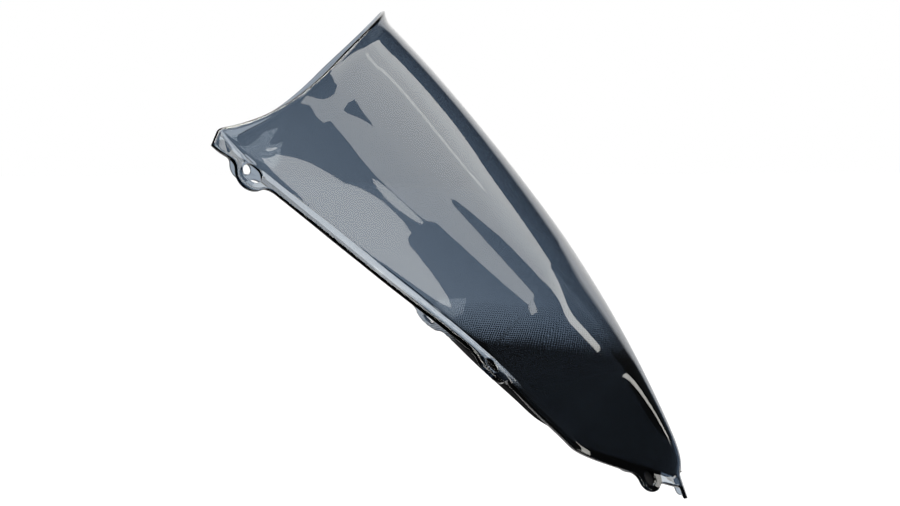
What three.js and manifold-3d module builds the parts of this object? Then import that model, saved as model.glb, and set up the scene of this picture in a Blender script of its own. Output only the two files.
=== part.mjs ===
// Double-bubble windshield screen of a sport motorcycle, in millimetres, +Z up.
//
// One sheet of clear smoke acrylic is heated and drawn into a tapering bubble. Its rim is turned
// outwards into a narrow mounting flange with three pairs of drilled lugs and a locating tongue at
// the nose, and its trailing edge is rolled up into a lip. A black band that breaks up into a fade
// is printed inside the nose.
//
// The shape is laid out in a frame of its own: x runs along the flange towards the nose, y across
// and z up out of the flange plane. The whole is then raked nose-down, as it stands on the fairing.
// The origin is midway between the holes of the two rear lugs.
import * as THREE from 'three';
import { mergeVertices } from 'three/addons/utils/BufferGeometryUtils.js';
import Module from 'manifold-3d';

// Sheet and rim
const SHEET = 3.0;                 // thickness of the acrylic
const RAKE = 39.4;                 // degrees that the flange line falls towards the nose
const FLANGE_WIDTH = 9.0;          // crease to cut edge
const CORNER_FLANGE_WIDTH = 15.5;  // where the flange runs out into the trailing corner
const CORNER_FLANGE_FADE = 0.06;   // share of the length over which it narrows to that
const BEND_ON_WALL = 9.0;          // length of the rounded bend up the wall from the crease
const BEND_ON_FLANGE = 4.0;        // length of the bend out on to the flange
const LIP_LENGTH = 15.0;           // rolled trailing lip, measured along the screen
const LIP_RISE = 4.5;              // how far the lip stands off the run of the bubble

// Crease line of one side, from the trailing corner to the middle of the nose
const CREASE = [
  [-36, 151, 7.2], [0, 141.2, 6.9], [105, 142.5, 5.8], [212, 141.5, 4.2], [252, 119, 1.4],
  [306, 78, -1.8], [324, 65, -2.4], [347, 51.5, 2.4], [368, 41, 8.4], [397, 28, 16.5],
  [424, 12, 24.5], [432, 0, 27],
];
// Crest line of the bubble on the plane of symmetry
const CREST = [
  [5, 0, 158.5], [65, 0, 151.5], [130, 0, 139.7], [220, 0, 118.3], [320, 0, 86.5],
  [385, 0, 59], [419, 0, 41], [430.5, 0, 30.5],
];
// Section at the trailing edge as [share of half-width, share of height], with its shoulder
const SHOULDER = [
  [1.0, 0.0], [0.975, 0.15], [0.92, 0.30], [0.83, 0.45], [0.70, 0.60], [0.52, 0.77],
  [0.28, 0.93], [0, 1.0],
];
const SHOULDER_FADES_AT = 0.62;    // share of the length where the shoulder has gone
const TRAILING_BULGE = 6.0;        // how far the trailing edge bulges back between corner and crest
const REAR_HALF_WIDTH = 142.5;     // half-width of the bubble where only the corner flares out
const CORNER_SHARE = 0.6;          // share of the height below which the corner sweeps back
const CORNER_SWEEP = 2.0;          // how hard it sweeps there
const CORNER_FADES_AT = 0.3;       // share of the length where the corner's sweep has gone
const NOSE_SWEEP = 2.5;            // how quickly the nose rounds from the crease to the crest

// Lugs: place along the crease, slope of the seat below the flange plane, and hole
const HOLE = 12.5;
const REAR_SLOT = 3.0;             // the rear holes are lengthened by this much for fitting
const LUG_FLANK = 1.9;             // half length of a lug's root, as a multiple of its radius
const LUG_SHOULDER = 25;           // degrees at which the round end of a lug starts
const LUG_INSET = 5.0;             // distance from the crease where a lug starts
const LUGS = [
  { along: 0, slope: 50, radius: 13, slot: REAR_SLOT },
  { along: 212, slope: 23, radius: 13, slot: 0 },
  { along: 396, slope: 50, radius: 11, slot: 0 },
];
// Slope of the flange below the flange plane, as [share of the length, degrees]
const SLOPES = [
  [0, 36], [0.07, 50], [0.25, 40], [0.46, 23], [0.66, 40], [0.86, 50], [0.93, 42], [1, 32],
];

// Tongue at the nose
const TONGUE_WIDTH = 22;
const TONGUE_LENGTH = 17;
const TONGUE_CORNER = 4;

// Printed band
const PRINT_TOP = -118;            // height where the fade begins, in the raked frame
const PRINT_THICKNESS = 0.4;
const PRINT_GAP = 0.9;             // clear of the sheet's inner face, so that the two never overlap
const PRINT_ROWS = 16;             // rows of facets from the top of the fade to the nose
const PRINT_FOOT = 0.10;           // share of the section left bare beside the crease
const PRINT_END = 0.965;           // share of the length where the band stops at the nose

// Fineness of the faceted surfaces
const STATIONS = 30;               // sections from the lip to the nose
const LIP_STATIONS = [0, 0.008, 0.016, 0.024, 0.034];  // closer sections across the lip
const WALL_STEPS = 10;             // facets from the crease to the crest
const BEND_STEPS = [0, 0.33, 0.67];  // places round the bend at the crease
const ARC_STEPS = 8;               // facets per quarter of a lug or hole
const MID_FLANGE = 6.5;            // distance from the crease to the flange's middle row
const FLANGE_ROWS = 3;             // rows of points from the cut edge to the crease
const CURVE_DIVISIONS = 800;       // steps in which a curve's length is measured
const HALVINGS = 40;               // steps of a search by halving
const ON_AXIS = 0.001;             // a point this near the plane of symmetry lies on it
const CLEAN_UP = 0.02;             // slivers thinner than this are collapsed after the joins

const rake = THREE.MathUtils.degToRad(RAKE);
const point = ([x, y, z]) => new THREE.Vector3(x, y, z);
const mirrored = (v) => new THREE.Vector3(v.x, -v.y, v.z);

// A curve through one side's points and their mirror images, so that it crosses the plane of
// symmetry squarely. at(share) runs over the given side only.
function sideCurve(points) {
  const side = points.map(point);
  const other = side.slice(0, -1).reverse().map(mirrored);
  const curve = new THREE.CatmullRomCurve3([...side, ...other], false, 'centripetal');
  curve.arcLengthDivisions = CURVE_DIVISIONS;
  return (share) => curve.getPointAt(share / 2);
}

function lineCurve(points) {
  const curve = new THREE.CatmullRomCurve3(points.map(point), false, 'centripetal');
  curve.arcLengthDivisions = CURVE_DIVISIONS;
  return (share) => curve.getPointAt(share);
}

const crease = sideCurve(CREASE);
const crest = lineCurve(CREST);
const shoulder = lineCurve(SHOULDER.map(([y, z]) => [0, y, z]));

// Straight-line reading of a table of [place, value] pairs, eased between its places.
function read(table, place) {
  let k = 1;
  while (k < table.length - 1 && place > table[k][0]) k += 1;
  const [from, low] = table[k - 1];
  const [to, high] = table[k];
  return THREE.MathUtils.lerp(low, high, THREE.MathUtils.smoothstep(place, from, to));
}

// Frame of the flange at a share of the length: the crease point, the direction along it, the
// direction out across the flange and the normal of its outer face.
function flangeFrame(share) {
  const step = 0.004;
  const ahead = crease(Math.min(1, share + step));
  const behind = crease(Math.max(0, share - step));
  const along = ahead.sub(behind);
  if (share > 1 - step) along.set(0, -1, 0);
  const outward = new THREE.Vector3(-along.y, along.x, 0).normalize();
  const slope = THREE.MathUtils.degToRad(read(SLOPES, share));
  const across = outward.multiplyScalar(Math.cos(slope));
  across.z -= Math.sin(slope);
  along.normalize();
  across.addScaledVector(along, -across.dot(along)).normalize();
  const normal = new THREE.Vector3().crossVectors(along, across).normalize();
  return { root: crease(share), along, across, normal };
}

const flangeWidth = (share) => {
  const corner = 1 - THREE.MathUtils.smoothstep(share, 0, CORNER_FLANGE_FADE);
  return THREE.MathUtils.lerp(FLANGE_WIDTH, CORNER_FLANGE_WIDTH, corner);
};

const onFlange = (share, distance) => {
  const { root, across } = flangeFrame(share);
  return root.addScaledVector(across, distance);
};

// A point of the bubble's outer face: turn is 0 at the crease and 1 at the crest.
function onWall(share, turn) {
  const foot = crease(share);
  const top = crest(share);
  const angle = turn * Math.PI / 2;
  const round = new THREE.Vector3(0, Math.cos(angle), Math.sin(angle));
  const bent = shoulder(turn);
  const blend = 1 - THREE.MathUtils.smoothstep(share, 0, SHOULDER_FADES_AT);
  const shape = round.lerp(bent, blend);
  const cornerSweep = Math.pow(Math.max(0, 1 - shape.z / CORNER_SHARE), CORNER_SWEEP);
  const noseSweep = Math.pow(1 - shape.z, NOSE_SWEEP);
  const sweep = THREE.MathUtils.lerp(
    cornerSweep,
    noseSweep,
    THREE.MathUtils.smoothstep(share, 0, CORNER_FADES_AT),
  );
  const rear = 1 - THREE.MathUtils.smoothstep(share, 0, CORNER_FADES_AT);
  const bulge = TRAILING_BULGE * rear * Math.sin(Math.PI * shape.z) ** 2;
  const flare = Math.max(0, foot.y - REAR_HALF_WIDTH) * (1 - cornerSweep);
  return new THREE.Vector3(
    THREE.MathUtils.lerp(top.x, foot.x, sweep) - bulge,
    (foot.y - flare) * shape.y,
    THREE.MathUtils.lerp(foot.z, top.z, shape.z),
  );
}

// Share of the section's turn that the rounded crease takes up, at most a tenth.
function creaseTurn(share) {
  const most = 0.1;
  const reach = onWall(share, most).distanceTo(crease(share));
  return most * Math.min(1, BEND_ON_WALL / reach);
}

// Points of one side's section at a share of the length, from the cut edge to the crest.
function section(share, shares) {
  const bend = creaseTurn(share);
  const inside = onFlange(share, BEND_ON_FLANGE);
  const outside = onWall(share, bend);
  const corner = crease(share);
  const round = new THREE.QuadraticBezierCurve3(inside, corner, outside);
  const points = [onFlange(share, flangeWidth(share)), onFlange(share, MID_FLANGE)];
  for (const t of BEND_STEPS) points.push(round.getPoint(t));
  for (const t of shares) points.push(onWall(share, THREE.MathUtils.lerp(bend, 1, t)));
  return points;
}

const wallShares = Array.from({ length: WALL_STEPS + 1 }, (_, k) => k / WALL_STEPS);
const stations = [...LIP_STATIONS];
const firstPlain = LIP_STATIONS[LIP_STATIONS.length - 1];
for (let k = 1; k <= STATIONS; k += 1) {
  stations.push(THREE.MathUtils.lerp(firstPlain, 1, k / STATIONS));
}

// Normals of a grid of points, rows[station][place], pointing out of the bubble. A point on the
// plane of symmetry gets one that lies in that plane.
function gridNormals(rows) {
  return rows.map((row, i) => row.map((p, j) => {
    const next = rows[Math.min(i + 1, rows.length - 1)][j];
    const last = rows[Math.max(i - 1, 0)][j];
    const up = row[Math.min(j + 1, row.length - 1)];
    const down = row[Math.max(j - 1, 0)];
    const lengthwise = new THREE.Vector3().subVectors(next, last);
    const crosswise = new THREE.Vector3().subVectors(up, down);
    const normal = new THREE.Vector3().crossVectors(crosswise, lengthwise);
    if (Math.abs(p.y) < ON_AXIS) normal.y = 0;
    return normal.normalize();
  }));
}

// Both sides of a section whose last point lies on the plane of symmetry.
const bothSides = (points) => [...points, ...points.slice(0, -1).reverse().map(mirrored)];

// Closed skin of a grid: outer face, inner face and the rims between them. Where the two sides
// already meet at the nose, the last row closes on itself and has no rim.
function closedSkin(outer, inner, meetsAtNose) {
  const rows = outer.length;
  const columns = outer[0].length;
  const positions = [];
  for (const grid of [outer, inner]) {
    for (const row of grid) {
      for (const p of row) positions.push(p.x, p.y, p.z);
    }
  }
  const index = [];
  const out = (i, j) => i * columns + j;
  const inn = (i, j) => rows * columns + i * columns + j;
  const quad = (a, b, c, d) => index.push(a, b, c, a, c, d);
  for (let i = 0; i < rows - 1; i += 1) {
    for (let j = 0; j < columns - 1; j += 1) {
      quad(out(i, j), out(i, j + 1), out(i + 1, j + 1), out(i + 1, j));
      quad(inn(i, j), inn(i + 1, j), inn(i + 1, j + 1), inn(i, j + 1));
    }
    const last = columns - 1;
    quad(out(i, 0), out(i + 1, 0), inn(i + 1, 0), inn(i, 0));
    quad(out(i, last), inn(i, last), inn(i + 1, last), out(i + 1, last));
  }
  for (let j = 0; j < columns - 1; j += 1) {
    const end = rows - 1;
    quad(out(0, j), inn(0, j), inn(0, j + 1), out(0, j + 1));
    if (!meetsAtNose) quad(out(end, j), out(end, j + 1), inn(end, j + 1), inn(end, j));
  }
  const geometry = new THREE.BufferGeometry();
  geometry.setAttribute('position', new THREE.Float32BufferAttribute(positions, 3));
  geometry.setIndex(index);
  return geometry;
}

const shifted = (rows, normals, distance) => rows.map((row, i) => row.map((p, j) => (
  p.clone().addScaledVector(normals[i][j], distance)
)));

// The formed sheet before its lugs are added.
function formedSheet() {
  const plain = stations.map((share) => bothSides(section(share, wallShares)));
  const plainNormals = gridNormals(plain);
  const lipped = plain.map((row, i) => row.map((p, j) => {
    const distance = p.distanceTo(plain[0][j]);
    const fromCutEdge = Math.min(j, row.length - 1 - j);
    const share = Math.min(1, fromCutEdge / FLANGE_ROWS);
    const rise = share * LIP_RISE * Math.pow(Math.max(0, 1 - distance / LIP_LENGTH), 2);
    return p.clone().addScaledVector(plainNormals[i][j], rise);
  }));
  return closedSkin(lipped, shifted(lipped, gridNormals(lipped), -SHEET), true);
}

const wasm = await Module();
wasm.setup();

function solid(geometry) {
  const bare = geometry.clone();
  bare.deleteAttribute('normal');
  bare.deleteAttribute('uv');
  const merged = mergeVertices(bare, 1e-4);
  return new wasm.Manifold(new wasm.Mesh({
    numProp: 3,
    vertProperties: merged.attributes.position.array,
    triVerts: Uint32Array.from(merged.index.array),
  }));
}

function geometryOf(manifold) {
  const { vertProperties, triVerts } = manifold.getMesh();
  const geometry = new THREE.BufferGeometry();
  geometry.setAttribute('position', new THREE.BufferAttribute(vertProperties, 3));
  geometry.setIndex(new THREE.BufferAttribute(triVerts, 1));
  geometry.computeVertexNormals();
  return geometry;
}

// Share of the crease's length that lies at a given distance along the flange.
function shareAt(along) {
  let low = 0;
  let high = 1;
  for (let k = 0; k < HALVINGS; k += 1) {
    const middle = (low + high) / 2;
    if (crease(middle).x < along) low = middle;
    else high = middle;
  }
  return low;
}

// Matrix that stands a flat plate on the flange: its x along the crease, its y out across the
// flange and its z out of the outer face.
function seatMatrix(share, slope, side) {
  const { root, along, normal } = flangeFrame(share);
  const outward = new THREE.Vector3(-along.y, along.x, 0).normalize();
  const angle = THREE.MathUtils.degToRad(slope);
  const across = outward.multiplyScalar(Math.cos(angle));
  across.z -= Math.sin(angle);
  across.addScaledVector(along, -across.dot(along)).normalize();
  normal.crossVectors(along, across).normalize();
  const matrix = new THREE.Matrix4().makeBasis(along, across, normal).setPosition(root);
  return side < 0 ? new THREE.Matrix4().makeScale(1, -1, 1).multiply(matrix) : matrix;
}

// Outline of a lug in its own plane, with its root along the crease.
function lugOutline(r) {
  const a = THREE.MathUtils.degToRad(LUG_SHOULDER);
  const root = LUG_FLANK * r;
  const shape = new THREE.Shape();
  const startX = -r * Math.cos(a);
  const startY = FLANGE_WIDTH + r * Math.sin(a);
  const run = (startY - FLANGE_WIDTH) / Math.cos(a);
  const controlX = startX - run * Math.sin(a);
  shape.moveTo(-root, LUG_INSET);
  shape.lineTo(-root, FLANGE_WIDTH);
  shape.quadraticCurveTo(controlX, FLANGE_WIDTH, startX, startY);
  shape.absarc(0, FLANGE_WIDTH, r, Math.PI - a, a, true);
  shape.quadraticCurveTo(-controlX, FLANGE_WIDTH, root, FLANGE_WIDTH);
  shape.lineTo(root, LUG_INSET);
  shape.closePath();
  return shape;
}

function slotOutline(slot) {
  const r = HOLE / 2;
  const shape = new THREE.Shape();
  shape.absarc(slot / 2, FLANGE_WIDTH, r, -Math.PI / 2, Math.PI / 2, false);
  shape.absarc(-slot / 2, FLANGE_WIDTH, r, Math.PI / 2, Math.PI * 1.5, false);
  shape.closePath();
  return shape;
}

function tongueOutline() {
  const half = TONGUE_WIDTH / 2;
  const r = TONGUE_CORNER;
  const shape = new THREE.Shape();
  shape.moveTo(-half, LUG_INSET);
  shape.lineTo(-half, TONGUE_LENGTH - r);
  shape.absarc(-half + r, TONGUE_LENGTH - r, r, Math.PI, Math.PI / 2, true);
  shape.absarc(half - r, TONGUE_LENGTH - r, r, Math.PI / 2, 0, true);
  shape.lineTo(half, LUG_INSET);
  shape.closePath();
  return shape;
}

// A flat plate whose outer face lies level with the flange's, or a cutter that overshoots it.
function plate(outline, matrix, overshoot, side) {
  const geometry = new THREE.ExtrudeGeometry(outline, {
    depth: SHEET + 2 * overshoot,
    bevelEnabled: false,
    curveSegments: ARC_STEPS,
  });
  geometry.translate(0, 0, -SHEET - overshoot);
  geometry.applyMatrix4(matrix);
  if (side < 0) {
    const position = geometry.attributes.position.array;
    for (let k = 0; k < position.length; k += 9) {
      for (let c = 0; c < 3; c += 1) {
        const held = position[k + 3 + c];
        position[k + 3 + c] = position[k + 6 + c];
        position[k + 6 + c] = held;
      }
    }
  }
  return solid(geometry);
}

function screenShell() {
  let shell = solid(formedSheet());
  const tongue = seatMatrix(1, SLOPES[SLOPES.length - 1][1], 1);
  shell = shell.add(plate(tongueOutline(), tongue, 0, 1));
  for (const side of [1, -1]) {
    for (const lug of LUGS) {
      const matrix = seatMatrix(shareAt(lug.along), lug.slope, side);
      shell = shell.add(plate(lugOutline(lug.radius), matrix, 0, side));
    }
  }
  for (const side of [1, -1]) {
    for (const lug of LUGS) {
      const matrix = seatMatrix(shareAt(lug.along), lug.slope, side);
      shell = shell.subtract(plate(slotOutline(lug.slot), matrix, SHEET, side));
    }
  }
  return geometryOf(shell.simplify(CLEAN_UP));
}

// Height of a point once the screen is raked.
const rakedHeight = (p) => p.z * Math.cos(rake) - p.x * Math.sin(rake);

// Share of the length where a line of constant turn drops below a raked height.
function shareBelow(turn, height) {
  let low = 0;
  let high = 1;
  for (let k = 0; k < HALVINGS; k += 1) {
    const middle = (low + high) / 2;
    if (rakedHeight(onWall(middle, turn)) > height) low = middle;
    else high = middle;
  }
  return low;
}

// The printed band: a thin film that follows the inner face of the nose.
function fadePrint() {
  const turns = wallShares.map((t) => THREE.MathUtils.lerp(PRINT_FOOT, 1, t));
  const starts = turns.map((turn) => shareBelow(turn, PRINT_TOP));
  const rows = [];
  for (let k = 0; k <= PRINT_ROWS; k += 1) {
    const half = turns.map((turn, j) => (
      onWall(THREE.MathUtils.lerp(starts[j], PRINT_END, k / PRINT_ROWS), turn)
    ));
    rows.push(bothSides(half));
  }
  const normals = gridNormals(rows);
  const outer = shifted(rows, normals, -SHEET - PRINT_GAP);
  const inner = shifted(rows, normals, -SHEET - PRINT_GAP - PRINT_THICKNESS);
  return geometryOf(solid(closedSkin(outer, inner, false)));
}

const smokeAcrylic = new THREE.MeshStandardMaterial({
  color: 0x4a5560, roughness: 0.05, metalness: 0, transparent: true, opacity: 0.55,
});
const blackInk = new THREE.MeshStandardMaterial({ color: 0x0b0c0e, roughness: 0.5, metalness: 0 });

function named(name, geometry, material) {
  const mesh = new THREE.Mesh(geometry, material);
  mesh.name = name;
  return mesh;
}

const group = new THREE.Group();
group.rotation.y = rake;
group.add(named('screen_shell', screenShell(), smokeAcrylic));
group.add(named('fade_print', fadePrint(), blackInk));
const part = new THREE.Group();
part.add(group);

export default part;
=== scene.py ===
"""Double-bubble windshield screen of a sport motorcycle: smoke acrylic sheet with a printed nose."""

import math

import bmesh
import bpy
import numpy as np
from mathutils import Matrix, Vector

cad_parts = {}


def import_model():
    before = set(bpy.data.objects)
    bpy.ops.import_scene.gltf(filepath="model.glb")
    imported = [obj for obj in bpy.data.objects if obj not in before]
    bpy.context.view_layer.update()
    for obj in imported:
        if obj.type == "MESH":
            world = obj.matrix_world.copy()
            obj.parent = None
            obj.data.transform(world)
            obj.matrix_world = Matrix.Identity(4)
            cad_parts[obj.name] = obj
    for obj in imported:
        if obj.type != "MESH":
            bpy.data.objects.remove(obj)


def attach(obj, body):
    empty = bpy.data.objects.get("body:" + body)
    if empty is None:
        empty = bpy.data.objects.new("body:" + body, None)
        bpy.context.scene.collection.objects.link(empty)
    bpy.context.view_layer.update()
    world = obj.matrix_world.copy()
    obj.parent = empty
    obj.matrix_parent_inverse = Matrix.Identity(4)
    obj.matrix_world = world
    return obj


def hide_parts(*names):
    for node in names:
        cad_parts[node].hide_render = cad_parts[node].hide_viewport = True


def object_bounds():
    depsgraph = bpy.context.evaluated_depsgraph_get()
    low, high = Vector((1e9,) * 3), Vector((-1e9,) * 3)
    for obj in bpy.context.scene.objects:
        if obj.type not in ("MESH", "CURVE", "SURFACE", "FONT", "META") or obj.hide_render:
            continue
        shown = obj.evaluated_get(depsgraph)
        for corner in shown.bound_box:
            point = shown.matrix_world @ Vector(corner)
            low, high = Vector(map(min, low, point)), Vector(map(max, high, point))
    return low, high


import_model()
CAD_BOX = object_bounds()

MM = 0.001

# Driving dimensions of the sheet, in millimetres, in the flange frame: x along the flange towards
# the nose, y across, z up out of the flange plane.
SHEET = 3.0                   # thickness of the acrylic
RAKE = math.radians(39.4)     # angle that the flange line falls towards the nose
FLANGE_WIDTH = 9.0            # crease to cut edge
CORNER_FLANGE_WIDTH = 15.5    # where the flange runs out into the trailing corner
CORNER_FLANGE_FADE = 0.06     # share of the length over which it narrows to that
BEND_ON_WALL = 9.0            # length of the rounded bend up the wall from the crease
BEND_ON_FLANGE = 4.0          # length of the bend out on to the flange
BEND_TURN = 0.1               # largest share of the section's turn that the bend takes up
LIP_RISE = 4.5                # how far the trailing lip stands off the run of the bubble
LIP_AT_CORNER = 22.0          # length of the lip beside the flange
LIP_AT_CREST = 12.0           # and from half way up the wall to the crest
LIP_NARROWS_BY = 0.5          # share of the wall over which it shortens to that
RIM = [                       # rounded cut edge as (share of the depth, distance out)
    (0.05, 0.22), (0.16, 0.36), (0.5, 0.42), (0.84, 0.36), (0.95, 0.22),
]

# Crease line of one side, from the trailing corner to the middle of the nose
CREASE = [
    (-36, 151, 7.2), (0, 141.2, 6.9), (105, 142.5, 5.8), (212, 141.5, 4.2), (252, 119, 1.4),
    (306, 78, -1.8), (324, 65, -2.4), (347, 51.5, 2.4), (368, 41, 8.4), (397, 28, 16.5),
    (424, 12, 24.5), (432, 0, 27),
]
# Crest line on the plane of symmetry
CREST = [
    (5, 0, 158.5), (65, 0, 151.5), (130, 0, 139.7), (220, 0, 118.3), (320, 0, 86.5),
    (385, 0, 59), (419, 0, 41), (430.5, 0, 30.5),
]
# Section at the trailing edge as (share of half-width, share of height)
SHOULDER = [
    (1.0, 0.0), (0.975, 0.15), (0.92, 0.30), (0.83, 0.45), (0.70, 0.60), (0.52, 0.77),
    (0.28, 0.93), (0, 1.0),
]
SHOULDER_FADES_AT = 0.62      # share of the length where the shoulder has gone
TRAILING_BULGE = 6.0          # how far the trailing edge bulges back between corner and crest
REAR_HALF_WIDTH = 142.5       # half-width of the bubble where only the corner flares out
CORNER_SHARE = 0.6            # share of the height below which the corner sweeps back
CORNER_SWEEP = 2.0            # how hard it sweeps there
CORNER_FADES_AT = 0.3         # share of the length where the corner's sweep has gone
NOSE_SWEEP = 2.5              # how quickly the nose rounds from the crease to the crest

# Slope of the flange below the flange plane, as (share of the length, degrees)
SLOPES = [
    (0, 36), (0.07, 50), (0.25, 40), (0.46, 23), (0.66, 40), (0.86, 50), (0.93, 42), (1, 32),
]

# Lugs: place along the flange, slope of the seat in degrees, radius and lengthening of the hole
HOLE = 12.5
HOLE_CHAMFER = 0.35
DRILL_OVERRUN = 2.0           # how far a drill stands out of the sheet at either end
LUG_SHOULDER = math.radians(25)  # angle at which the round end of a lug starts
LUG_FLANK = 1.9               # half length of a lug's root, as a multiple of its radius
LUGS = [
    {"along": 0, "slope": 50, "radius": 13, "slot": 3.0},
    {"along": 212, "slope": 23, "radius": 13, "slot": 0.0},
    {"along": 396, "slope": 50, "radius": 11, "slot": 0.0},
]

# Tongue at the nose
TONGUE_WIDTH = 22.0
TONGUE_LENGTH = 17.0
TONGUE_CORNER = 4.0
TONGUE_FROM = 0.9             # share of the length beyond which the edge can belong to it

# Printed band: heights in the raked frame, and the dots that it breaks up into above SOLID_TOP
FADE_TOP = -119.0
SOLID_TOP = -156.0
INK_GAP = 0.12                # clear of the sheet's inner face, so that the two never overlap
INK_THICKNESS = 0.06
CLEAR_NOSE_SHARE = 0.935      # share of the length beyond which the flange stays clear of ink
DOT_PITCH = 2.2
DOT_SMALLEST = 0.25           # radius at the top of the fade
DOT_LARGEST = 1.2             # radius at its foot
DOT_SHRINK = 0.8              # below 1, the dots shrink faster near the foot
DOT_SIDES = 10

# Fineness of the mesh: millimetres between stations, then rows of faces and points on curves
COARSE = 3.2
FINE = 0.9
LIP_STEP = 1.5
LIP_MARGIN = 5.0              # how far beyond the lip the stations stay close
WALL_ROWS = 48
BEND_ROWS = 7
FLANGE_ROWS = 6
CURVE_POINTS = 6000
SHARE_POINTS = 4001
LUG_POINTS = 60
HOLE_SIDES = 64
TANGENT_STEP = 0.004          # share of the length either side when the crease's run is read
WELD = 0.01                   # millimetres within which points are one
SLIVER = 0.002                # millimetres below which an edge is dropped
CUT_TOLERANCE = 1e-6          # metres, for the level cut through the ink
SHARP = math.radians(38)      # faces that meet at more than this are shaded with an edge


# Curves and easing

def smoother(value, start, end):
    """Eases from 0 at start to 1 at end."""
    t = np.clip((value - start) / (end - start), 0, 1)
    return t * t * t * (t * (6 * t - 15) + 10)


def mix(a, b, t):
    return a + (b - a) * t


def spline(points, mirrored=False):
    """A smooth curve through the points, read by share of its length. A mirrored one carries on
    through the plane of symmetry, which it meets at share 1."""
    p = np.array(points, float)
    if mirrored:
        p = np.vstack([p, p[-2::-1] * (1, -1, 1)])
    knots = np.concatenate([[0], np.cumsum(np.sqrt(np.linalg.norm(np.diff(p, axis=0), axis=1)))])
    count = len(p)
    gap = np.diff(knots)
    system = np.eye(count)
    right = np.zeros_like(p)
    for k in range(1, count - 1):
        system[k, k - 1:k + 2] = gap[k - 1], 2 * (gap[k - 1] + gap[k]), gap[k]
        right[k] = 6 * ((p[k + 1] - p[k]) / gap[k] - (p[k] - p[k - 1]) / gap[k - 1])
    bend = np.linalg.solve(system, right)
    at = np.linspace(0, knots[-1], CURVE_POINTS)
    k = np.clip(np.searchsorted(knots, at) - 1, 0, count - 2)
    h = gap[k][:, None]
    before = (at - knots[k])[:, None]
    after = (knots[k + 1] - at)[:, None]
    dense = (
        bend[k] * after ** 3 / (6 * h) + bend[k + 1] * before ** 3 / (6 * h)
        + (p[k] / h - bend[k] * h / 6) * after + (p[k + 1] / h - bend[k + 1] * h / 6) * before
    )
    steps = np.linalg.norm(np.diff(dense, axis=0), axis=1)
    run = np.concatenate([[0], np.cumsum(steps)])
    scale = 2.0 if mirrored else 1.0

    def read(share):
        place = np.asarray(share, float) * run[-1] / scale
        return np.stack([np.interp(place, run, dense[:, c]) for c in range(p.shape[1])], axis=-1)

    read.length = run[-1] / scale
    return read


crease = spline(CREASE, mirrored=True)
crest = spline(CREST)
shoulder = spline(SHOULDER)


def unit(v):
    return v / np.linalg.norm(v, axis=-1, keepdims=True)


def slope_at(share):
    """Slope of the flange at a share of the length, in radians."""
    share = np.asarray(share, float)
    value = np.full(share.shape, float(SLOPES[0][1]))
    for (start, low), (end, high) in zip(SLOPES[:-1], SLOPES[1:]):
        value = np.where(share > start, mix(low, high, smoother(share, start, end)), value)
    return np.radians(value)


# The formed sheet

def flange_axes(share, slope):
    """Direction along the crease and direction out across the flange."""
    along = unit(crease(share + TANGENT_STEP) - crease(share - TANGENT_STEP))
    outward = unit(np.stack([-along[..., 1], along[..., 0], 0 * along[..., 0]], axis=-1))
    across = outward * np.cos(slope)[..., None]
    across[..., 2] -= np.sin(slope)
    across = across - along * (across * along).sum(-1, keepdims=True)
    return along, unit(across)


def on_wall(share, turn):
    """Point of the outer face: share runs from the trailing edge to the nose, turn from the
    crease to the crest."""
    foot = crease(share)
    top = crest(share)
    angle = turn * math.pi / 2
    blend = 1 - smoother(share, 0, SHOULDER_FADES_AT)
    bent = shoulder(turn)
    wide = mix(np.cos(angle), bent[..., 0], blend)
    high = mix(np.sin(angle), bent[..., 1], blend)
    corner = np.clip(1 - high / CORNER_SHARE, 0, 1) ** CORNER_SWEEP
    nose = np.clip(1 - high, 0, 1) ** NOSE_SWEEP
    sweep = mix(corner, nose, smoother(share, 0, CORNER_FADES_AT))
    rear = 1 - smoother(share, 0, CORNER_FADES_AT)
    bulge = TRAILING_BULGE * rear * np.sin(math.pi * high) ** 2
    flare = np.clip(foot[..., 1] - REAR_HALF_WIDTH, 0, None) * (1 - corner)
    return np.stack([
        mix(top[..., 0], foot[..., 0], sweep) - bulge,
        (foot[..., 1] - flare) * wide,
        mix(foot[..., 2], top[..., 2], high),
    ], axis=-1)


def share_at(along):
    """Share of the crease's length at a distance along the flange."""
    shares = np.linspace(0, 1, SHARE_POINTS)
    return float(np.interp(along, crease(shares)[:, 0], shares))


def lug_edge(radius):
    """Outline of a lug beyond the flange's edge: distance along the crease, distance out."""
    root = LUG_FLANK * radius
    end_x = radius * math.cos(LUG_SHOULDER)
    end_y = radius * math.sin(LUG_SHOULDER)
    control = end_x + end_y * math.tan(LUG_SHOULDER)
    arc = np.linspace(math.pi / 2, LUG_SHOULDER, LUG_POINTS)
    t = np.linspace(0, 1, LUG_POINTS)[1:]
    flank_x = (1 - t) ** 2 * end_x + 2 * t * (1 - t) * control + t ** 2 * root
    flank_y = (1 - t) ** 2 * end_y
    x = np.concatenate([radius * np.cos(arc), flank_x])
    y = np.concatenate([radius * np.sin(arc), flank_y])
    return x, y


def flange_width(share):
    """Crease to cut edge, lugs included."""
    corner = 1 - smoother(share, 0, CORNER_FLANGE_FADE)
    width = mix(FLANGE_WIDTH, CORNER_FLANGE_WIDTH, corner)
    for lug in LUGS:
        distance = np.abs(share - share_at(lug["along"])) * crease.length
        x, y = lug_edge(lug["radius"])
        width = width + np.interp(distance, x, y, right=0.0)
    return width


def tongue_reach(x):
    """How far the tongue's outline stands out from the crease, at a distance from its middle."""
    half = TONGUE_WIDTH / 2
    flat = half - TONGUE_CORNER
    over = np.clip(np.abs(x) - flat, 0, TONGUE_CORNER)
    reach = TONGUE_LENGTH - TONGUE_CORNER + np.sqrt(TONGUE_CORNER ** 2 - over ** 2)
    return np.where(np.abs(x) > half, -math.inf, reach)


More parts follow.
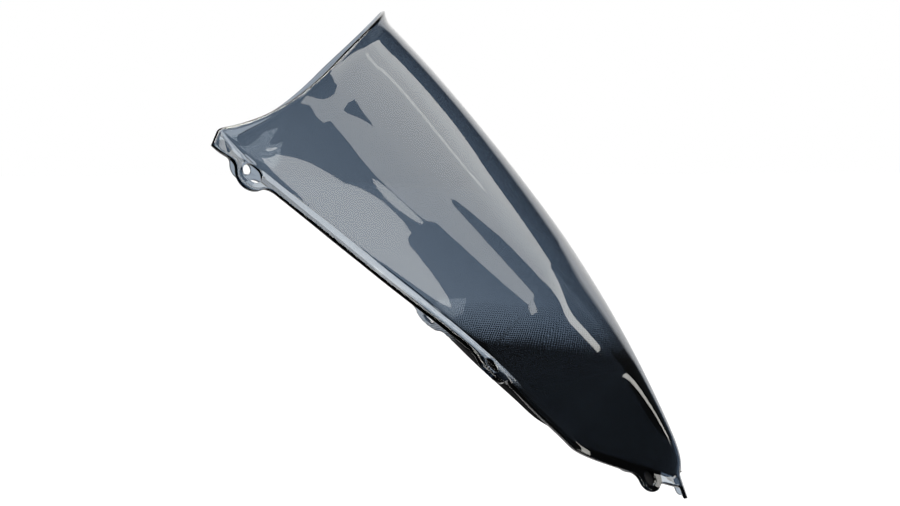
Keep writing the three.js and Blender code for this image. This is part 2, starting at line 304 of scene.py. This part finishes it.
def flange_edge(share):
    """The cut edge of the sheet, lugs and tongue included."""
    _, across = flange_axes(share, slope_at(share))
    edge = crease(share) + across * flange_width(share)[..., None]
    _, forward = flange_axes(np.array(1.0), slope_at(1.0))
    from_nose = edge - crease(1.0)
    reach = (from_nose * forward).sum(-1)
    tongue = np.where(share > TONGUE_FROM, tongue_reach(from_nose[..., 1]), -math.inf)
    grown = np.maximum(reach, tongue)
    return edge + forward * (grown - reach)[..., None]


def sections(shares):
    """Points of one side of the outer face, [station][row], from the cut edge to the crest."""
    s = np.asarray(shares, float)[:, None]
    _, across = flange_axes(s, slope_at(s))
    inside = crease(s) + across * BEND_ON_FLANGE
    edge = flange_edge(s)
    t = np.linspace(0, 1, FLANGE_ROWS + 1)[None, :, None]
    flange = mix(edge, inside, t)
    reach = np.linalg.norm(on_wall(s, np.full_like(s, BEND_TURN)) - crease(s), axis=-1)
    bend = BEND_TURN * np.minimum(1, BEND_ON_WALL / reach)
    outside = on_wall(s, bend)
    t = np.linspace(0, 1, BEND_ROWS + 1)[None, 1:, None]
    rounded = inside * (1 - t) ** 2 + crease(s) * 2 * t * (1 - t) + outside * t ** 2
    t = np.linspace(0, 1, WALL_ROWS + 1)[None, 1:]
    turns = mix(bend, 1.0, t)
    wall = on_wall(np.broadcast_to(s, turns.shape), turns)
    return np.concatenate([flange, rounded, wall], axis=1)


def stations():
    """Shares of the length, close together beside the lugs, the tongue and the trailing lip."""
    marks = [share_at(lug["along"]) * crease.length for lug in LUGS]
    reaches = [LUG_FLANK * lug["radius"] for lug in LUGS]
    length = crease.length
    found = [0.0]
    while found[-1] < length:
        here = found[-1]
        step = COARSE
        for mark, reach in zip(marks, reaches):
            if abs(here - mark) < reach + COARSE:
                step = FINE
        if here < LIP_AT_CORNER + LIP_MARGIN:
            step = min(step, LIP_STEP)
        if here > length - TONGUE_WIDTH:
            step = FINE / 2
        found.append(here + step)
    found[-1] = length
    return np.array(found) / length


def with_mirror(side):
    """Both sides of a grid whose last column lies on the plane of symmetry."""
    return np.concatenate([side, side[:, -2::-1] * (1, -1, 1)], axis=1)


def grid_normals(grid):
    """Normals of a grid of points, out of the bubble."""
    lengthwise = np.gradient(grid, axis=0)
    crosswise = np.gradient(grid, axis=1)
    return unit(np.cross(crosswise, lengthwise))


def rolled_lip(grid):
    """The trailing edge rolled up, further at the corners than at the crest."""
    distance = np.linalg.norm(grid - grid[:1], axis=-1)
    rows = grid.shape[1]
    from_edge = np.minimum(np.arange(rows), np.arange(rows)[::-1])
    up_flange = np.clip(from_edge / FLANGE_ROWS, 0, 1)
    up_wall = np.clip((from_edge - FLANGE_ROWS - BEND_ROWS) / WALL_ROWS, 0, 1)
    length = mix(LIP_AT_CORNER, LIP_AT_CREST, smoother(up_wall, 0, LIP_NARROWS_BY))
    rise = LIP_RISE * up_flange * np.clip(1 - distance / length, 0, 1) ** 2
    return grid + grid_normals(grid) * rise[..., None]


def raked(points):
    """From the flange frame in millimetres to the part's frame in metres."""
    x = points[..., 0] * math.cos(RAKE) + points[..., 2] * math.sin(RAKE)
    z = points[..., 2] * math.cos(RAKE) - points[..., 0] * math.sin(RAKE)
    return np.stack([x, points[..., 1], z], axis=-1) * MM


SHARES = stations()
OUTER = rolled_lip(with_mirror(sections(SHARES)))


def grid_mesh(grid, keep=None):
    """A bmesh of a grid of points, its two sides joined where they meet at the nose."""
    bm = bmesh.new()
    rows, columns = grid.shape[:2]
    verts = [bm.verts.new(p) for p in raked(grid).reshape(-1, 3)]
    for i in range(rows - 1):
        for j in range(columns - 1):
            if keep is None or keep(i, j):
                corner = i * columns + j
                bm.faces.new([
                    verts[corner], verts[corner + 1],
                    verts[corner + columns + 1], verts[corner + columns],
                ])
    bmesh.ops.remove_doubles(bm, verts=bm.verts, dist=WELD * MM)
    bmesh.ops.dissolve_degenerate(bm, edges=bm.edges, dist=SLIVER * MM)
    loose = [v for v in bm.verts if not v.link_faces]
    bmesh.ops.delete(bm, geom=loose, context="VERTS")
    bm.normal_update()
    return bm


def rim_directions(bm):
    """For each vertex on the sheet's rim, the direction out of the sheet in its own plane."""
    found = {}
    for edge in bm.edges:
        if not edge.is_boundary:
            continue
        face = edge.link_faces[0]
        middle = (edge.verts[0].co + edge.verts[1].co) / 2
        run = (edge.verts[1].co - edge.verts[0].co).normalized()
        out = run.cross(face.normal)
        if out.dot(middle - face.calc_center_median()) < 0:
            out.negate()
        for vert in edge.verts:
            found[vert] = found.get(vert, Vector()) + out
    return {vert: out.normalized() for vert, out in found.items()}


def thickened(bm, depth, rim):
    """Turns a one-faced sheet into a closed solid with its back face depth below and a cut edge
    rounded by the (share of depth, distance out) pairs of rim."""
    fronts = list(bm.faces)
    edges = [e for e in bm.edges if e.is_boundary]
    directions = rim_directions(bm)
    normal = {v: v.normal.copy() for v in bm.verts}
    back = {}
    for vert in list(bm.verts):
        back[vert] = bm.verts.new(vert.co - normal[vert] * depth)
    ladder = {}
    for vert, out in directions.items():
        between = [
            bm.verts.new(vert.co - normal[vert] * depth * share + out * distance)
            for share, distance in rim
        ]
        ladder[vert] = [vert, *between, back[vert]]
    for face in fronts:
        bm.faces.new([back[v] for v in reversed(face.verts)])
    for edge in edges:
        face = edge.link_faces[0]
        loops = [loop for loop in face.loops if loop.edge == edge]
        start = loops[0].vert
        end = edge.other_vert(start)
        for k in range(len(rim) + 1):
            a, b = ladder[start], ladder[end]
            bm.faces.new([b[k], a[k], a[k + 1], b[k + 1]])
    bm.normal_update()


def object_from(name, bm):
    """A smooth-shaded object made of a bmesh, which it frees."""
    mesh = bpy.data.meshes.new(name)
    bm.to_mesh(mesh)
    bm.free()
    obj = bpy.data.objects.new(name, mesh)
    bpy.context.collection.objects.link(obj)
    mesh.polygons.foreach_set("use_smooth", [True] * len(mesh.polygons))
    return obj


def baked(obj):
    """Replaces an object's mesh by what its modifiers make of it."""
    depsgraph = bpy.context.evaluated_depsgraph_get()
    mesh = bpy.data.meshes.new_from_object(obj.evaluated_get(depsgraph), depsgraph=depsgraph)
    obj.modifiers.clear()
    old = obj.data
    obj.data = mesh
    bpy.data.meshes.remove(old)
    return obj


def hole_cutter(lug, side):
    """A drill for one lug hole that also breaks both of its edges."""
    share = np.array(share_at(lug["along"]))
    slope = np.array(math.radians(lug["slope"]))
    along, across = flange_axes(share, slope)
    normal = np.cross(along, across)
    centre = crease(share) + across * FLANGE_WIDTH
    bore = HOLE / 2
    mouth = bore + HOLE_CHAMFER
    profile = [
        (DRILL_OVERRUN, mouth), (0, mouth), (-HOLE_CHAMFER, bore),
        (HOLE_CHAMFER - SHEET, bore), (-SHEET, mouth), (-SHEET - DRILL_OVERRUN, mouth),
    ]
    rings = []
    for height, r in profile:
        ring = []
        for k in range(HOLE_SIDES):
            angle = 2 * math.pi * k / HOLE_SIDES
            shift = math.copysign(lug["slot"] / 2, math.cos(angle))
            x = r * math.cos(angle) + shift
            y = r * math.sin(angle)
            p = centre + along * x + across * y + normal * height
            ring.append(p * (1, side, 1))
        rings.append(raked(np.array(ring)))
    bm = bmesh.new()
    verts = [[bm.verts.new(p) for p in ring] for ring in rings]
    for low, high in zip(verts[:-1], verts[1:]):
        for k in range(HOLE_SIDES):
            after = (k + 1) % HOLE_SIDES
            bm.faces.new([low[k], low[after], high[after], high[k]])
    bm.faces.new(verts[0])
    bm.faces.new(verts[-1])
    bmesh.ops.recalc_face_normals(bm, faces=bm.faces)
    return bm


def screen_shell():
    """The formed sheet with its lug holes drilled."""
    bm = grid_mesh(OUTER)
    thickened(bm, SHEET * MM, [(share, distance * MM) for share, distance in RIM])
    shell = object_from("screen_sheet", bm)
    cutters = bmesh.new()
    for side in (1, -1):
        for lug in LUGS:
            drill = hole_cutter(lug, side)
            held = bpy.data.meshes.new("held")
            drill.to_mesh(held)
            drill.free()
            cutters.from_mesh(held)
            bpy.data.meshes.remove(held)
    drills = object_from("drills", cutters)
    cut = shell.modifiers.new("holes", "BOOLEAN")
    cut.operation = "DIFFERENCE"
    cut.solver = "EXACT"
    cut.object = drills
    baked(shell)
    bpy.data.objects.remove(drills)
    shell.data.polygons.foreach_set("use_smooth", [True] * len(shell.data.polygons))
    shell.data.set_sharp_from_angle(angle=SHARP)
    return shell


# The printed band

def inner_face(depth):
    """The grid of the sheet's outer face sunk by a depth below it."""
    return OUTER - grid_normals(OUTER) * depth


def printed(i, j):
    """True where the band covers the grid: not on the clear flange at the nose."""
    columns = OUTER.shape[1]
    from_edge = min(j, columns - 2 - j)
    on_flange = from_edge < FLANGE_ROWS + BEND_ROWS // 2
    return not (on_flange and SHARES[i] > CLEAR_NOSE_SHARE)


def ink_band():
    """The solid part of the print, up to its level top."""
    bm = grid_mesh(inner_face(SHEET + INK_GAP), printed)
    bmesh.ops.bisect_plane(
        bm, geom=list(bm.verts) + list(bm.edges) + list(bm.faces), dist=CUT_TOLERANCE,
        plane_co=(0, 0, SOLID_TOP * MM), plane_no=(0, 0, 1), clear_outer=True,
    )
    bm.normal_update()
    thickened(bm, INK_THICKNESS * MM, [])
    return object_from("ink_band", bm)


def dot_points():
    """Places, normals and radii of the fade's dots, in level rows a fixed pitch apart."""
    face = raked(inner_face(SHEET + INK_GAP))
    normals = raked(grid_normals(OUTER)) / MM
    columns = face.shape[1]
    places, facings, sizes = [], [], []
    rise = DOT_PITCH * math.sin(math.pi / 3) * MM
    count = int((FADE_TOP - SOLID_TOP) * MM / rise)
    for row in range(count):
        height = SOLID_TOP * MM + rise * (row + 0.5)
        line, line_normals = [], []
        for j in range(columns):
            column = face[:, j, 2]
            below = np.nonzero(column < height)[0]
            if not len(below) or below[0] == 0:
                continue
            i = below[0]
            t = (column[i - 1] - height) / (column[i - 1] - column[i])
            line.append(mix(face[i - 1, j], face[i, j], t))
            line_normals.append(mix(normals[i - 1, j], normals[i, j], t))
        line = np.array(line)
        line_normals = np.array(line_normals)
        run = np.concatenate([[0], np.cumsum(np.linalg.norm(np.diff(line, axis=0), axis=1))])
        start = run[-1] / 2 % (DOT_PITCH * MM) + (row % 2) * DOT_PITCH * MM / 2
        spots = np.arange(start, run[-1], DOT_PITCH * MM)
        fade = row / count
        radius = mix(DOT_LARGEST, DOT_SMALLEST, fade ** DOT_SHRINK)
        for c, store in ((line, places), (line_normals, facings)):
            store.append(np.stack([np.interp(spots, run, c[:, k]) for k in range(3)], axis=-1))
        sizes.append(np.full(len(spots), radius * MM))
    return np.vstack(places), np.vstack(facings), np.concatenate(sizes)


def node(tree, kind, inputs=None, **settings):
    """Adds a node with its settings. An input is a value, or a socket to link from."""
    made = tree.nodes.new(kind)
    for name, value in settings.items():
        setattr(made, name, value)
    for name, value in (inputs or {}).items():
        socket = made.inputs[name]
        if isinstance(value, bpy.types.NodeSocket):
            tree.links.new(value, socket)
        else:
            socket.default_value = value
    return made


def dot_tree(material):
    """Geometry nodes that stand a thin round dot of ink on every point, facing along its normal."""
    tree = bpy.data.node_groups.new("fade_dots", "GeometryNodeTree")
    face = tree.interface
    face.new_socket("Geometry", in_out="INPUT", socket_type="NodeSocketGeometry")
    sides = face.new_socket("Sides", in_out="INPUT", socket_type="NodeSocketInt")
    depth = face.new_socket("Ink thickness", in_out="INPUT", socket_type="NodeSocketFloat")
    sides.default_value = DOT_SIDES
    depth.default_value = INK_THICKNESS
    face.new_socket("Geometry", in_out="OUTPUT", socket_type="NodeSocketGeometry")
    group_in = node(tree, "NodeGroupInput")
    dot = node(tree, "GeometryNodeMeshCylinder", {
        "Vertices": group_in.outputs["Sides"], "Radius": 1.0,
        "Depth": group_in.outputs["Ink thickness"],
    })
    facing = node(tree, "GeometryNodeInputNamedAttribute", {"Name": "facing"},
                  data_type="FLOAT_VECTOR")
    size = node(tree, "GeometryNodeInputNamedAttribute", {"Name": "dot_radius"}, data_type="FLOAT")
    turn = node(tree, "FunctionNodeAlignRotationToVector",
                {"Vector": facing.outputs["Attribute"]}, axis="Z")
    placed = node(tree, "GeometryNodeInstanceOnPoints", {
        "Points": group_in.outputs["Geometry"], "Instance": dot.outputs["Mesh"],
        "Rotation": turn.outputs["Rotation"],
    })
    scaled = node(tree, "ShaderNodeCombineXYZ", {
        "X": size.outputs["Attribute"], "Y": size.outputs["Attribute"], "Z": MM,
    })
    tree.links.new(scaled.outputs["Vector"], placed.inputs["Scale"])
    real = node(tree, "GeometryNodeRealizeInstances", {"Geometry": placed.outputs["Instances"]})
    inked = node(tree, "GeometryNodeSetMaterial", {
        "Geometry": real.outputs["Geometry"], "Material": material,
    })
    node(tree, "NodeGroupOutput", {"Geometry": inked.outputs["Geometry"]})
    return tree


def fade_dots(material):
    """The dots of the fade, as one mesh."""
    places, facings, sizes = dot_points()
    mesh = bpy.data.meshes.new("fade_dots")
    mesh.from_pydata(places.tolist(), [], [])
    facing = mesh.attributes.new("facing", "FLOAT_VECTOR", "POINT")
    facing.data.foreach_set("vector", facings.ravel())
    size = mesh.attributes.new("dot_radius", "FLOAT", "POINT")
    size.data.foreach_set("value", sizes)
    obj = bpy.data.objects.new("fade_dots", mesh)
    bpy.context.collection.objects.link(obj)
    tree = dot_tree(material)
    spread = obj.modifiers.new("dots", "NODES")
    spread.node_group = tree
    names = {item.name: item.identifier for item in tree.interface.items_tree
             if item.item_type == "SOCKET" and item.in_out == "INPUT"}
    spread[names["Sides"]] = DOT_SIDES
    spread[names["Ink thickness"]] = INK_THICKNESS
    return baked(obj)


# Materials

def hex_linear(code):
    """An sRGB hex colour as linear red, green, blue and a full alpha."""
    values = [int(code[k:k + 2], 16) / 255 for k in (0, 2, 4)]
    return [v / 12.92 if v <= 0.04045 else ((v + 0.055) / 1.055) ** 2.4 for v in values] + [1.0]


def material_tree(name):
    """A material whose node tree is still empty."""
    material = bpy.data.materials.new(name)
    material.use_nodes = True
    tree = material.node_tree
    tree.nodes.clear()
    return material, tree


def smoke_acrylic():
    """Cast acrylic sheet tinted smoke grey: clear, glossy, and darker the longer the light's way
    through it, so that its cut edges look almost black."""
    material, tree = material_tree("smoke_tinted_cast_acrylic")
    shader = node(tree, "ShaderNodeBsdfPrincipled", {
        "Base Color": (1, 1, 1, 1), "Roughness": 0.02, "IOR": 1.49, "Transmission Weight": 1.0,
    })
    tint = node(tree, "ShaderNodeVolumeAbsorption",
                {"Color": (0.235, 0.33, 0.43, 1), "Density": 500.0})
    out = node(tree, "ShaderNodeOutputMaterial",
               {"Surface": shader.outputs["BSDF"], "Volume": tint.outputs["Volume"]})
    out.target = "ALL"
    return material


def screen_ink():
    """Black screen-printing ink on the inner face: opaque and matt, with a faint mottle."""
    material, tree = material_tree("black_screen_printing_ink")
    where = node(tree, "ShaderNodeTexCoord")
    mottle = node(tree, "ShaderNodeTexNoise",
                  {"Vector": where.outputs["Object"], "Scale": 900.0, "Detail": 2.0})
    shade = node(tree, "ShaderNodeMix", {
        "Factor": mottle.outputs["Fac"], "A": hex_linear("030304"), "B": hex_linear("060607"),
    }, data_type="RGBA")
    rough = node(tree, "ShaderNodeMapRange", {
        "Value": mottle.outputs["Fac"], "To Min": 0.42, "To Max": 0.62,
    })
    shader = node(tree, "ShaderNodeBsdfPrincipled", {
        "Base Color": shade.outputs["Result"], "Roughness": rough.outputs["Result"],
        "IOR": 1.45, "Specular IOR Level": 0.1,
    })
    node(tree, "ShaderNodeOutputMaterial", {"Surface": shader.outputs["BSDF"]})
    return material


# Pieces

acrylic = smoke_acrylic()
ink = screen_ink()

sheet = screen_shell()
sheet.data.materials.clear()
sheet.data.materials.append(acrylic)
band = ink_band()
band.data.materials.append(ink)
dots = fade_dots(ink)

for piece, cad_node, finish in (
    (sheet, "screen_shell", "smoke_acrylic"),
    (band, "fade_print", "black_ink"),
    (dots, "fade_print", "black_ink"),
):
    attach(piece, "root")
    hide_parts(cad_node)


# Studio, in metres

FLOOR_DROP = 0.35             # below the part's lowest point
FLOOR_HALF_WIDTH = 30.0
CEILING_RADIANCE = 14.0
FRONT_RADIANCE = 5.5
SIDE_RADIANCE = 4.0
TUBE_RADIANCE = 6.0

# Walls of the light tent, with the outlines of the lit panels on them
FRONT_Y = -2.2
SIDE_X = 2.0
TENT_TOP = 2.6
FRONT_PANEL = [               # as (x, z)
    (-2.5, -0.3), (0.80, -0.3), (0.98, 0.40), (1.11, 1.02), (1.52, 1.60), (1.90, 1.90),
    (2.0, 2.05), (2.0, TENT_TOP), (1.2, 2.0), (0.75, 1.25), (-2.5, 0.95),
]
SIDE_PANEL = [                # as (y, z)
    (-2.2, 2.1), (-1.70, 1.67), (-0.95, 0.57), (-0.82, 0.1), (-0.54, 0.1), (-0.76, 0.99),
    (-0.75, 1.4), (-0.57, 1.78), (-0.26, 1.34), (-0.12, 0.86), (0.34, 0.05), (0.40, -0.3),
    (0.53, -0.2), (0.53, 0.86), (0.81, 1.21), (1.06, 1.55), (1.06, TENT_TOP), (-2.2, TENT_TOP),
]
CEILING_PANEL = [             # as (x, y)
    (-1.6, -1.8), (1.2, -1.8), (1.2, 1.2), (-1.6, 1.2),
]
TUBE_X = 1.98                 # just in front of the side wall
TUBE = [                      # as (y, z)
    (0.36, 1.45), (0.42, 1.45), (0.42, 2.0), (0.36, 2.0),
]

CAMERA_LENS = 60.0            # millimetres, on a sensor 36 mm wide
CAMERA_SENSOR = 36.0
CAMERA_REACH = 100.0
CAMERA_AT = (-0.0268, -1.174, 0.0184)
CAMERA_YAW = math.radians(9.0)
CAMERA_PITCH = math.radians(4.12)  # downwards


def floor():
    """Pale floor far below the part. Its own glow keeps it even, and its dark base keeps it from
    throwing more light up under the screen."""
    low = CAD_BOX[0][2] - FLOOR_DROP
    bm = bmesh.new()
    bmesh.ops.create_grid(bm, x_segments=1, y_segments=1, size=FLOOR_HALF_WIDTH,
                          matrix=Matrix.Translation((0, 0, low)))
    obj = object_from("floor", bm)
    material, tree = material_tree("pale_studio_floor")
    shader = node(tree, "ShaderNodeBsdfPrincipled", {
        "Base Color": hex_linear("505050"), "Roughness": 0.9,
        "Emission Color": (1, 1, 1, 1), "Emission Strength": 0.98,
    })
    node(tree, "ShaderNodeOutputMaterial", {"Surface": shader.outputs["BSDF"]})
    obj.data.materials.append(material)
    obj.visible_glossy = False


def softbox_cloth(radiance):
    """White diffusing cloth of a softbox, lit evenly from behind."""
    material, tree = material_tree("softbox_cloth")
    light = node(tree, "ShaderNodeEmission",
                 {"Color": hex_linear("fffef8"), "Strength": radiance})
    node(tree, "ShaderNodeOutputMaterial", {"Surface": light.outputs["Emission"]})
    return material


def softbox(name, corners, radiance):
    """A flat lit panel with the given corners, seen only where the screen mirrors it."""
    bm = bmesh.new()
    bm.faces.new([bm.verts.new(corner) for corner in corners])
    obj = object_from(name, bm)
    obj.data.materials.append(softbox_cloth(radiance))
    obj.visible_camera = False
    obj.visible_transmission = False
    obj.visible_shadow = False


def world():
    """White all round for what is seen directly and through the screen. Reflections see a dark
    room with a white wall far behind the screen."""
    made = bpy.data.worlds.new("studio")
    made.use_nodes = True
    tree = made.node_tree
    tree.nodes.clear()
    path = node(tree, "ShaderNodeLightPath")
    facing = node(tree, "ShaderNodeTexCoord")
    behind = node(tree, "ShaderNodeVectorMath",
                  {0: facing.outputs["Generated"], 1: (0, 1, -0.35)}, operation="DOT_PRODUCT")
    wall = node(tree, "ShaderNodeMapRange", {
        "Value": behind.outputs["Value"], "From Min": 0.60, "From Max": 0.68,
        "To Min": 0.03, "To Max": 1.0,
    })
    room = node(tree, "ShaderNodeBackground",
                {"Color": hex_linear("ffffff"), "Strength": wall.outputs["Result"]})
    clear = node(tree, "ShaderNodeBackground", {"Color": hex_linear("ffffff"), "Strength": 1.0})
    reflected = node(tree, "ShaderNodeMath", {
        0: path.outputs["Glossy Depth"], 1: 0.5,
    }, operation="GREATER_THAN")
    both = node(tree, "ShaderNodeMixShader", {
        0: reflected.outputs[0], 1: clear.outputs[0], 2: room.outputs[0],
    })
    node(tree, "ShaderNodeOutputWorld", {"Surface": both.outputs[0]})
    bpy.context.scene.world = made


def camera():
    data = bpy.data.cameras.new("camera")
    data.lens = CAMERA_LENS
    data.sensor_width = CAMERA_SENSOR
    data.clip_end = CAMERA_REACH
    obj = bpy.data.objects.new("camera", data)
    bpy.context.collection.objects.link(obj)
    level = math.cos(CAMERA_PITCH)
    forward = Vector((math.sin(CAMERA_YAW) * level, math.cos(CAMERA_YAW) * level,
                      -math.sin(CAMERA_PITCH)))
    obj.location = CAMERA_AT
    obj.rotation_euler = forward.to_track_quat("-Z", "Y").to_euler()
    bpy.context.scene.camera = obj


floor()
world()
camera()

softbox("ceiling", [(x, y, TENT_TOP) for x, y in CEILING_PANEL], CEILING_RADIANCE)
softbox("front", [(x, FRONT_Y, z) for x, z in FRONT_PANEL], FRONT_RADIANCE)
softbox("side", [(SIDE_X, y, z) for y, z in SIDE_PANEL], SIDE_RADIANCE)
softbox("tube", [(TUBE_X, y, z) for y, z in TUBE], TUBE_RADIANCE)
bpy.context.scene.view_settings.view_transform = "Standard"
